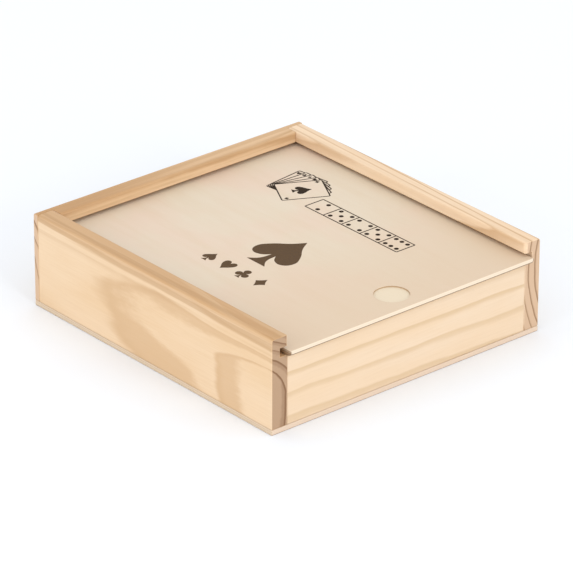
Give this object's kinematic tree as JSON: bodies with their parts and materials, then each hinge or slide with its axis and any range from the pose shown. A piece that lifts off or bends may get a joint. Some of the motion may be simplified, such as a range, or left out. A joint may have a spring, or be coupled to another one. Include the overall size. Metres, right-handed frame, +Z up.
{
  "type": "playing card and dice box",
  "caption": "Low pine box with a sliding plywood lid in grooves, a round thumb recess, and bays inside for two decks of playing cards and five dice.",
  "frame": {"origin": "middle of the box's footprint at the underside of the bottom panel, without the lid's small overhang at the front", "axes": "+Z up, +X to the right along the front, +Y to the back; the lid slides out along -Y"},
  "size_m": [0.15, 0.1615, 0.0442],
  "materials": {
    "pine": "sanded, bare",
    "plywood": "fine sanded, bare",
    "card_stock": "smooth, coated",
    "dice_plastic": "polished",
    "print_ink": "thin screen print"
  },
  "bodies": {
    "box": {"bottom_panel": "plywood", "side_board_left": "pine", "side_board_right": "pine", "back_board": "pine", "front_board": "pine", "cross_divider": "plywood", "deck_divider": "plywood", "card_deck_left": "card_stock", "card_deck_right": "card_stock", "die_1": "dice_plastic", "die_2": "dice_plastic", "die_3": "dice_plastic", "die_4": "dice_plastic", "die_5": "dice_plastic"},
    "lid": {"sliding_lid": "plywood"}
  },
  "joints": [
    {"name": "lid_slide", "type": "slide", "parent": "box", "child": "lid", "axis": [0, -1, 0], "range_m": [0, 0.156]}
  ]
}
